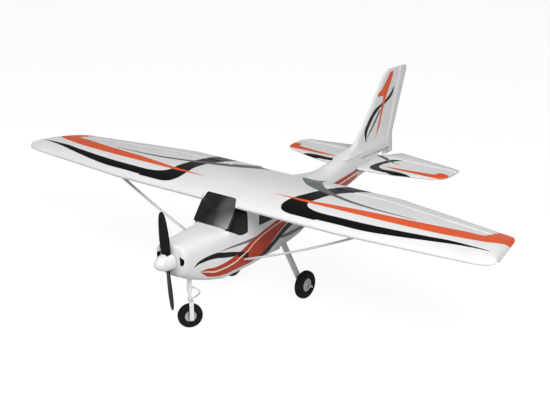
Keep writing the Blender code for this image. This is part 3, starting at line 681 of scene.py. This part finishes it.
def bodyRing(y, inset=0.0):
    half, top, bottom, upper, lower = bodyShape(y)
    half, top, bottom = half - inset, top - inset, bottom + inset
    middle, height = (top + bottom) / 2, (top - bottom) / 2
    ring = []
    for i in range(body["around"]):
        angle = math.tau * (i + 0.5) / body["around"]
        square = 2 / (upper if math.sin(angle) > 0 else lower)
        ring.append((half * signedPower(math.cos(angle), square), y,
                     middle + height * signedPower(math.sin(angle), square)))
    return ring


def bodySections():
    stops = set(row[0] for row in body["stations"])
    y, end = body["stations"][0][0], body["stations"][-1][0]
    while y < end:
        stops.add(y)
        y += body["step"]
    kept = []
    for y in sorted(stops):
        if not kept or y - kept[-1] > 1.0:
            kept.append(y)
    # the cowl's front edge is rounded over
    cowl = [bodyRing(kept[0] + back, inset) for back, inset in body["cowlRound"]]
    return cowl + [bodyRing(y) for y in kept[1:]]


def screenY(z):
    return onLine(screen["line"], z)


def rudderHinge(z):
    return onLine(body["rudderLine"], z)


def cutHollows(*names):
    return [cutBox(*hollows[name]) for name in names]


thrust = body["thrust"]
x0, x1, y0, y1, z0, z1 = body["hood"]
gap = body["hoodGap"]
fuselage = loftPiece("fuselageShell", bodySections())
boomRings = []
for y, half, top, bottom in body["boom"]:
    middle, height = (top + bottom) / 2, (top - bottom) / 2
    boomRings.append([(half * a, y, middle + height * b) for a, b in circlePoints(24)])
tailEnd = [(rudderHinge(-80) - 1.2, -80.0), (rudderHinge(20) - 1.2, 20.0), (720.0, 20.0), (720.0, -80.0)]
motorRoom = [(0, 0), (15, 0), (15, 21), (20, 21), (20, 55), (0, 55)]
cutters = [cutBox(x0 - gap, x1 + gap, y0 - gap, y1 + gap, z0 - 0.3, z1),
           *cutHollows("noseBay", "mainBay", "underWing"),
           spinPiece("cutter", motorRoom, (0, -160, thrust), (0, 1, 0), 48), loftPiece("cutter", boomRings),
           *cutHollows("stabSlot", "elevatorRoom"), platePiece("cutter", tailEnd, 0, -40, 40),
           *cutHollows("leftRod", "rightRod", "legSlot"), cutHole(*body["noseHole"], (0, 0, 1))]
for sign in (1, -1):
    outline = [(sign * x, thrust + z) for x, z in body["intake"]]
    cutters.append(platePiece("cutter", outline, 1, *body["intakeDeep"], 1.2))
carve(fuselage, cutters, sharp=32.0)
dress(fuselage, bodyFoam).data.materials.append(smallPlastic)
for face in fuselage.data.polygons:
    # painted shade: the walls inside the two intakes take the dark plastic finish, standing for the shade
    # in the openings
    x, y, z = face.center / mm - shift
    limits = zip((abs(x), y, z - thrust), body["intakeWalls"])
    if all(low < value < high for value, (low, high) in limits):
        face.material_index = 1
fitIn(fuselage, "airframe", "fuselage")

hood = loftPiece("hatchHood", bodySections())
carve(hood, [cutBox(*body["hood"])], "INTERSECT")
fitIn(dress(hood, bodyFoam), "hatch", "hatch_hood")

# the screen is a flat sheet that leans back and narrows at its head
sections = []
slopeY, slopeZ = screen["slope"]
for lift, draw in screen["layers"]:
    ring = []
    for share, half in screen["edge"]:
        z = screen["foot"] + screen["tall"] * share
        corner = screen["corner"] if share in (0.0, 1.0) else 0.0
        ring.append((half - draw - corner, screenY(z) + slopeY * lift, z + slopeZ * lift))
    sections.append(ring + [(-x, y, z) for x, y, z in ring[::-1]])
sheet = loftPiece("windscreenSheet", sections, 50.0)
fitIn(dress(sheet, screenGloss), "hatch", "windscreen")
print("fuselage, hatch and windscreen made")


# wing

wing = {"taperEnd": 610.0, "chord": 263.0, "centreTrail": 245.0, "thickness": 0.12, "camber": 0.03,
        "wash": 0.02, "taperStart": 300.0, "tipLead": 15.4, "tipTrail": 184.0, "tipTrailX": 592.0,
        "tipRise": 6.0, "spar": (4.4, 306.0, (-5, 80, 5)),
        "flap": (84.8, 287.4), "aileron": (288.4, 571.6), "hingeRoot": 197.0, "hingeTip": 145.5,
        "gap": 0.6, "setBack": 7.0, "chordStops": (0.0, 0.03, 0.25, 0.5, 0.75, 0.97, 1.0),
        # servos: place along the span, and the pocket's two corners from the hinge
        "servoAt": {"flap": 160.0, "aileron": 420.0}, "pocket": ((-3.0, -84.0, -40.0), (15.5, -54.0, 9.5)),
        # along the span, drawn back at the front, drawn in at the rear, share of the thickness
        "tips": ((572.2, 0.0, 0.0, 1.0), (587.0, 0.7, 1.5, 0.98), (597.5, 2.4, 14.0, 0.91),
                 (606.5, 5.0, 50.0, 0.8), (614.5, 8.6, 86.0, 0.63), (620.6, 13.0, 112.0, 0.42),
                 (624.0, 20.0, 128.0, 0.16))}


def foilShape(u):
    p, camber = 0.4, wing["camber"]
    if u < p:
        line = camber / p**2 * (2 * p * u - u * u)
    else:
        line = camber / (1 - p) ** 2 * (1 - 2 * p + 2 * p * u - u * u)
    depth = 0.2969 * math.sqrt(u) - 0.126 * u - 0.3516 * u**2 + 0.2843 * u**3 - 0.1036 * u**4
    return line, 5 * wing["thickness"] * depth


def wingPlan(x):
    start = wing["taperStart"]
    out = max(0.0, x - start)
    lead = wing["tipLead"] * out / (wing["taperEnd"] - start)
    trail = wing["chord"] - (wing["chord"] - wing["tipTrail"]) * out / (wing["tipTrailX"] - start)
    return lead, trail, wing["tipRise"] * out / (wing["taperEnd"] - start)


def wingHeights(x, y, slim=1.0):
    lead, trail, rise = wingPlan(x)
    chord = trail - lead
    u = min(1.0, max(0.0, (y - lead) / chord))
    line, half = foilShape(u)
    return rise + chord * line - wing["wash"] * y, (chord * half + 0.8 * min(1.0, 4.0 * u)) * slim


def hingeY(x):
    start, end = wing["aileron"]
    if x < start - 0.5:
        return wing["hingeRoot"]
    return wing["hingeRoot"] + (wing["hingeTip"] - wing["hingeRoot"]) * (x - start) / (end - start)


# shares of the chord: forward along the top, back along the bottom, and behind the hinge
upperSteps = [0.5 * (1 + math.cos(math.pi * i / 26)) * 0.62 for i in range(27)]
lowerSteps = [0.5 * (1 - math.cos(math.pi * i / 20)) * 0.62 for i in range(1, 21)]
rearSteps = (1.0, 0.94, 0.86, 0.78, 0.7)


def wingRing(x, lead, trail, cutOff, slim=1.0):
    root, tail, _ = wingPlan(x)
    chord = tail - root if cutOff else trail - lead
    rear = () if cutOff else rearSteps
    rows = []
    for shares, sign in ((list(rear) + upperSteps, 1.0), (lowerSteps + list(rear[::-1]), -1.0)):
        row = []
        for u in shares:
            y = lead + chord * u
            middle, depth = wingHeights(x, y if slim == 1.0 else root + (tail - root) * u, slim)
            row.append((x, y, middle + sign * depth))
        rows.append(row)
    if cutOff:
        middle, depth = wingHeights(x, trail, slim)
        shares = (0.06, 0.35, 0.7, 0.9, 1.0)
        rows[0] = [(x, trail, middle + depth * k) for k in shares] + rows[0]
        rows[1] += [(x, trail, middle - depth * k) for k in shares[::-1]]
    return rows[0] + rows[1]


def wingSections():
    flapIn, aileronOut = wing["flap"][0], wing["aileron"][1]
    rings = [wingRing(x, 0.0, wing["centreTrail"], False) for x in (0.03, 30.0, flapIn - 0.6)]
    for x in (flapIn - 0.5, 180.0, 287.8, 300.0, 400.0, 500.0, aileronOut + 0.5):
        rings.append(wingRing(x, wingPlan(x)[0], hingeY(x), True))
    tips = easedTable(wing["tips"])
    for x in (572.2, 577, 582, 587, 590, 594, 597.5, 600, 603, 606.5, 610, 614.5, 617.5, 620.6, 622.4,
              623.5, 624.0):
        nose, short, slim = tips(x)
        lead, trail, _ = wingPlan(x)
        rings.append(wingRing(x, lead + nose, trail - short, False, slim))
    return rings


def hingeFrame(span, where):
    ends = [Vector((x, hingeY(x) + wing["gap"], wingHeights(x, hingeY(x))[0])) for x in span]
    along = (ends[1] - ends[0]).normalized()
    aft = Vector((0.0, 0.0, 1.0)).cross(along).normalized()
    base = ends[0].lerp(ends[1], (where - span[0]) / (span[1] - span[0]))
    return base, Matrix((along, aft, along.cross(aft))).transposed()


def surfacePiece(name, span):
    sections = []
    start, end = span
    stops = ((start, 0.5), (start + 0.5, 0.0), ((start + end) / 2, 0.0), (end - 0.5, 0.0), (end, 0.5))
    for x, shrink in stops:
        trail = wingPlan(x)[1]
        front = hingeY(x) + wing["gap"]
        ridge = wingHeights(x, hingeY(x))[0]
        face = front + wing["setBack"]
        upper, lower = [], []
        for share in wing["chordStops"]:
            y = face + (trail - front - wing["setBack"]) * share
            middle, depth = wingHeights(x, y)
            depth = max(depth - shrink - (0.25 if share in (0.0, 1.0) else 0.0), 0.2)
            if share == 1.0:
                y -= shrink
            upper.append((x, y, middle + depth))
            lower.append((x, y, middle - depth))
        sections.append([(x, front, ridge)] + upper + lower[::-1])
    return loftPiece(name, sections, 30.0)


# the screen's head leans into a notch in the wing's centre
notch = [(screenY(-30) + 0.5, -30.0), (screenY(40) + 0.5, 40.0), (-40.0, 40.0), (-40.0, -30.0)]
leftWing = loftPiece("leftWing", wingSections(), 30.0)
cutters = [platePiece("cutter", notch, 0, -60.0, 46.6), cutHole(*wing["spar"], (1, 0, 0))]
for kind, where in wing["servoAt"].items():
    base, turn = hingeFrame(wing[kind], where)
    bm = boxInto(bmesh.new(), *wing["pocket"])
    for vert in bm.verts:
        vert.co = base + turn @ vert.co
    cutters.append(addPiece("cutter", bm))
carve(leftWing, cutters, sharp=30.0)
fitPair(dress(leftWing, wingFoam), "airframe", "wing_left")
for kind in wing["servoAt"]:
    surface = surfacePiece("left" + kind.capitalize(), wing[kind])
    fitPair(dress(surface, wingFoam), "left_" + kind, "left_" + kind)
print("wing and its surfaces made")


# tail

tail = {"z": -49.0, "half": 4.5, "hinge": 612.0, "flareTop": 34.0, "flareFoot": -16.0,
        "noseSteps": 9, "edge": 0.9, "setBack": 7.0,
        # out from the root, leading or trailing edge, share of the thickness
        "stab": ((0.0, 497.0, 1.0), (12.0, 497.0, 1.0), (60.0, 500.0, 1.0), (203.0, 538.0, 1.0),
                 (217.0, 545.0, 0.94), (226.0, 556.0, 0.8), (231.0, 574.0, 0.6)),
        "elevator": ((0.0, 624.0, 0.9), (8.0, 624.0, 0.9), (39.0, 680.0, 1.0), (208.0, 644.0, 1.0),
                     (223.0, 639.0, 0.9), (231.0, 630.0, 0.6)),
        "fin": ((-3.0, 488.0, 1.0), (3.0, 508.0, 1.0), (12.0, 521.0, 1.0), (140.0, 628.0, 0.95),
                (157.0, 644.0, 0.85), (166.0, 661.0, 0.6)),
        "finRoot": ((-16.0, 442.0, 1.0), (-9.5, 456.0, 1.0), (-6.0, 471.0, 1.0)),
        "rudder": ((-52.0, 694.0, 1.0), (0.0, 691.0, 1.0), (152.0, 749.0, 0.95), (161.0, 751.0, 0.85),
                   (166.0, 743.0, 0.6))}


def slabRing(lead, rear, half):
    nose = min(4.0 * half, 0.5 * (rear - lead))
    upper = [(rear, half * 0.86), (rear - 0.6, half)]
    for i in range(tail["noseSteps"]):
        share = 1.0 - i / tail["noseSteps"]
        upper.append((lead + nose * share, half * math.sqrt(1.0 - (1.0 - share) ** 2)))
    return upper + [(lead, 0.0)] + [(y, -h) for y, h in upper[::-1]]


def wedgeRing(front, trail, half):
    edge, face = tail["edge"], front + tail["setBack"]
    upper = [(face - 0.4, half * 0.94), (face + 0.4, half), (face * 0.5 + trail * 0.5, (half + edge) / 2),
             (trail - 0.6, edge), (trail, edge * 0.5)]
    return [(front, 0.0)] + upper + [(y, -h) for y, h in upper[::-1]]


def spread(rows, eased, extra):
    shape = easedTable(rows) if eased else easedTable(rows, straight=range(len(rows)))
    keys = sorted(set(row[0] for row in rows) | set(extra))
    return [(key, *shape(key)) for key in keys]


def bothSides(rows):
    return [(-row[0], *row[1:]) for row in rows[:0:-1]] + list(rows)


sections = []
stabStops = (30, 45, 90, 120, 150, 180, 210, 214, 220, 223, 228, 229.5, 230.4)
for x, lead, slim in bothSides(spread(tail["stab"], True, stabStops)):
    ring = slabRing(lead, tail["hinge"] - 0.6, tail["half"] * slim)
    sections.append([(x, y, tail["z"] + h) for y, h in ring])
fitIn(dress(loftPiece("stabilizer", sections, 30.0), tailFoam), "airframe", "stabilizer")
sections = []
for x, trail, slim in bothSides(spread(tail["elevator"], False, (215, 227, 229.5))):
    ring = wedgeRing(tail["hinge"], trail, tail["half"] * slim)
    sections.append([(x, y, tail["z"] + h) for y, h in ring])
fitIn(dress(loftPiece("elevatorPair", sections, 30.0), tailFoam), "elevator", "elevator")
sections = []
finRows = spread(tail["fin"], True, (-1, 1, 5, 8, 20, 40, 80, 110, 146, 151, 154, 160, 163, 165))
for z, lead, slim in [*tail["finRoot"], *finRows]:
    # the fin's foot flares out to the fuselage
    flare = max(0.0, (tail["flareTop"] - z) / (tail["flareTop"] - tail["flareFoot"])) ** 3
    ring = []
    for y, h in slabRing(lead, rudderHinge(z) - 0.8, tail["half"] * slim):
        wide = max(0.0, bodyShape(y)[0] - 6.0) / tail["half"]
        ring.append((h * (1.0 + flare * wide), y, z))
    sections.append(ring)
fitIn(dress(loftPiece("finPlate", sections, 30.0), finFoam), "airframe", "fin")
sections = []
for z, trail, slim in spread(tail["rudder"], False, (-30, 30, 60, 90, 120, 157, 164)):
    sections.append([(h, y, z) for y, h in wedgeRing(rudderHinge(z), trail, tail["half"] * slim)])
fitIn(dress(loftPiece("rudderPlate", sections, 30.0), finFoam), "rudder", "rudder")
print("tail made")


# propeller

power = {"at": (0.0, -161.0, -82.0), "lean": math.radians(-6.0), "radius": 19.0,
         "spinnerBack": -153.5, "spinnerTip": -194.0, "slotHalf": 10.5,
         # radius, chord, thickness, pitch in degrees
         "blade": ((5.0, 12.0, 6.0, 34.0), (19.0, 20.5, 4.4, 27.0), (45.0, 22.0, 3.2, 23.0),
                   (75.0, 19.8, 2.4, 17.0), (95.0, 14.8, 1.8, 15.0), (102.0, 9.8, 1.5, 14.0),
                   (105.0, 4.0, 1.0, 14.0)),
         "bladeStops": (5, 10, 16, 22, 30, 38, 45, 53, 60, 68, 75, 82, 89, 95, 99, 102, 104, 105),
         "boss": ((3.0, -7.0), (8.9, -7.0), (9.5, -6.4), (9.5, 6.4), (8.9, 7.0), (3.0, 7.0))}
bladeShape = easedTable(power["blade"])
_, propY, propZ = power["at"]
bm = spinInto(bmesh.new(), power["boss"], power["at"], (0, 1, 0), 48)
for sign in (1, -1):
    sections = []
    for radius in power["bladeStops"]:
        chord, thick, pitch = bladeShape(radius)
        pitch = math.radians(pitch)
        ring = []
        for c, d in circlePoints(20):
            a, b = c * chord / 2, d * thick / 2 * (1.0 if d > 0 else 0.75)
            ring.append((sign * (a * math.cos(pitch) - b * math.sin(pitch)),
                         propY + a * math.sin(pitch) + b * math.cos(pitch), propZ + sign * radius))
        sections.append(ring)
    loftInto(bm, sections)
propeller = addPiece("propeller", bm, 40.0)
turnPiece(propeller, power["at"], power["lean"], "Y")
fitIn(dress(propeller, bladePlastic), "power", "propeller")

back, wide, slotHalf = power["spinnerBack"], power["radius"], power["slotHalf"]
length = back - power["spinnerTip"]
outside = [(wide * math.sqrt(max(0.0, 1.0 - (i / 24) ** 2.2)), -length * i / 24) for i in range(25)]
outside = [(wide - 0.8, 0.0), (wide, -0.8)] + outside[1:]
inside = [(0.0, -27.0), (10.0, -25.0), (14.0, -18.0), (15.0, 0.0)]
spinner = spinPiece("spinnerCone", inside + outside, (0, back, thrust), (0, 1, 0), 72)
carve(spinner, [cutBox(-slotHalf, slotHalf, propY - 8.0, back + 5, thrust - 40, thrust + 40)])
turnPiece(spinner, power["at"], power["lean"], "Y")
fitIn(dress(spinner, spinnerGloss), "power", "spinner")
print("propeller and spinner made")


# wheels and gear

gear = {
    # centre, radius, width and rim of a wheel
    "mainWheel": ((104.0, 171.5, -220.0), 32.0, 20.0, 15.0),
    "noseWheel": ((0.0, -96.0, -225.0), 27.0, 18.0, 12.5),
    "noseTurn": math.radians(-36.0), "bore": 2.4, "legThick": 2.6, "legWide": 18.0,
    "legPath": ((4.0, -138.0), (44.0, -138.0), (84.0, -205.0), (90.0, -212.0), (90.0, -226.0)),
    # turned profiles, radius and place along the axis; the hub's are shares of its rim and half width
    "hub": ((0.28, 0.95), (0.34, 0.88), (0.36, 0.55), (0.74, 0.42), (0.80, 0.62), (0.94, 0.66),
            (1.0, 0.58)),
    "bolt": ((0.0, -19.5), (3.6, -19.5), (4.0, -19.1), (4.0, -15.7), (2.0, -15.7), (2.0, 10.6), (3.3, 10.6),
             (3.6, 10.9), (3.6, 14.7), (3.3, 15.0), (2.0, 15.0), (2.0, 19.4), (1.5, 20.0), (0.0, 20.0)),
    "tube": ((0.0, 46.0), (4.4, 46.0), (5.0, 45.4), (5.0, 12.6), (5.7, 12.0), (5.7, 5.0), (5.0, 4.4),
             (5.0, 0.5), (4.6, 0.0), (4.0, 0.0), (4.0, 39.2), (0.0, 39.2)),
    "rod": ((0.0, 0.0), (3.5, 0.0), (3.5, 47.4), (2.9, 48.0), (0.0, 48.0)),
    "pin": ((0.0, -13.0), (2.0, -13.0), (2.0, 14.4), (0.0, 14.4)),
    "nut": ((0.0, 18.0), (3.6, 18.0), (3.6, 20.4), (3.0, 21.0), (0.0, 21.0)),
    # blocks on the nose leg: two corners and a rounding
    "tubeLug": ((-3.0, -91.4, -166.0), (3.0, -87.0, -160.0), 0.6),
    "fork": (((-5.0, -100.5, -189.2), (18.7, -91.5, -184.8), 1.0),
             ((14.3, -100.5, -230.0), (18.7, -91.5, -184.8), 1.0),
             ((-3.0, -94.0, -188.5), (3.0, -87.0, -184.9), 0.6)),
}
wingStrut = {"foot": (49.4, 29.0, -126.0), "head": (328.0, 37.0, -11.6), "bow": 5.0, "half": 3.8,
             "cuff": 1.25, "footThick": 2.4, "headThick": 6.0}


def tyrePiece(name, centre, radius, width, rim):
    half = width / 2
    profile = []
    for i in range(33):
        angle = math.pi * (i / 32 - 0.5)
        r = rim + 2.5 + (radius - rim - 2.5) * signedPower(math.cos(angle), 0.62)
        a = half * signedPower(math.sin(angle), 0.8)
        if abs(i - 16) in (3, 7):
            r -= 0.7
        profile.append((r, a))
    profile = [(rim + 0.3, -half * 0.7)] + profile[1:-1] + [(rim + 0.3, half * 0.7)]
    return spinPiece(name, profile, centre, (1, 0, 0), 96, 30.0)


def hubPiece(name, centre, width, rim):
    half = width / 2
    side = [(gear["bore"], -half * 0.95)] + [(rim * r, -half * a) for r, a in gear["hub"]]
    return spinPiece(name, side + [(r, -a) for r, a in side[::-1]], centre, (1, 0, 0), 72, 30.0)


def stripOutline(path, half):
    points = [Vector(p) for p in path]
    left, right = [], []
    for i, point in enumerate(points):
        before = (point - points[i - 1]).normalized() if i else (points[1] - point).normalized()
        after = (points[i + 1] - point).normalized() if i + 1 < len(points) else before
        across = Vector((-before.y - after.y, before.x + after.x)).normalized()
        reach = half / max(0.3, across.dot(Vector((-before.y, before.x))))
        left.append(tuple(point + across * reach))
        right.append(tuple(point - across * reach))
    return left + right[::-1]


def wheelPieces(side, centre, radius, width, rim):
    tyre = dress(tyrePiece(side + "Tyre", centre, radius, width, rim), tyreFoam)
    hub = dress(hubPiece(side + "Hub", centre, width, rim), hubPlastic)
    return (tyre, "tyre"), (hub, "hub")


mainAt, noseAt = gear["mainWheel"][0], gear["noseWheel"][0]
for piece, kind in wheelPieces("left", *gear["mainWheel"]):
    fitPair(piece, "left_wheel", "left_wheel_" + kind)
for piece, kind in wheelPieces("nose", *gear["noseWheel"]):
    turnPiece(piece, noseAt, gear["noseTurn"], "Z")
    fitIn(piece, "nose_wheel", "nose_wheel_" + kind)

legY, half = mainAt[1], gear["legWide"] / 2
outline = stripOutline(gear["legPath"], gear["legThick"] / 2)
leftLeg = platePiece("leftLeg", outline, 1, legY - half, legY + half, 0.45)
carve(leftLeg, [cutHole(gear["bore"], 20, (80, legY, -220), (1, 0, 0))])
fitPair(dress(leftLeg, legAlloy), "airframe", "gear_leg_left")
leftAxle = spinPiece("leftAxle", gear["bolt"], mainAt, (1, 0, 0), 40)
fitPair(dress(leftAxle, brightSteel), "airframe", "axle_left")

sections = []
footX, footY, footZ = wingStrut["foot"]
headX, headY, headZ = wingStrut["head"]
for share in (0.0, 0.02, 0.06, 0.1, 0.2, 0.3, 0.4, 0.5, 0.6, 0.7, 0.8, 0.9, 0.94, 0.98, 1.0):
    half = wingStrut["half"] * (1.0 if 0.08 < share < 0.92 else wingStrut["cuff"])
    sag = Vector((0.0, 0.0, wingStrut["bow"] * 4.0 * share * (1.0 - share)))
    ring = []
    for a, b in circlePoints(28):
        low = Vector((footX, footY + half * a, footZ + wingStrut["footThick"] * b))
        high = Vector((headX - wingStrut["headThick"] * b, headY + half * a, headZ))
        ring.append(low.lerp(high, share) - sag)
    sections.append(ring)
fitPair(dress(loftPiece("leftStrut", sections), strutGrey), "airframe", "wing_strut_left")

legX, noseY, _ = noseAt
bm = spinInto(bmesh.new(), gear["tube"], (legX, noseY, -172.0), (0, 0, 1), 40)
boxInto(bm, *gear["tubeLug"])
upperStrut = addPiece("noseUpper", bm)
bm = spinInto(bmesh.new(), gear["rod"], (legX, noseY, -190), (0, 0, 1), 36)
for block in gear["fork"]:
    boxInto(bm, *block)
spinInto(bm, gear["pin"], noseAt, (1, 0, 0), 28)
spinInto(bm, gear["nut"], noseAt, (1, 0, 0), 6)
lowerStrut = addPiece("noseLower", bm)
for piece, rider, kind in ((upperStrut, "nose_steer", "upper"), (lowerStrut, "nose_leg", "lower")):
    turnPiece(piece, noseAt, gear["noseTurn"], "Z")
    fitIn(dress(piece, legAlloy), rider, "nose_strut_" + kind)
print("gear made")


# finishes on the pieces carried over from the frame

def nodesEnding(*endings):
    return [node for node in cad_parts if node.endswith(endings)]


carried = (
    (carbonTube, ["wing_spar"]),
    (batteryWrap, ["battery"]),
    (motorAlloy, ["motor_can", "motor_mount"]),
    (legAlloy, ["scissor_upper", "scissor_lower"]),
    (brightSteel, nodesEnding("_rod")),
    (hornPlastic, ["gear_plate", *nodesEnding("_horn", "_arm")]),
    (smallPlastic, ["receiver", "nose_gear_mount", *nodesEnding("_servo")]),
)
for material, nodes in carried:
    for node in nodes:
        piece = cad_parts[node]
        if piece.material_slots:
            piece.material_slots[0].material = material
        else:
            piece.data.materials.append(material)
print("carried pieces finished")

low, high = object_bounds()
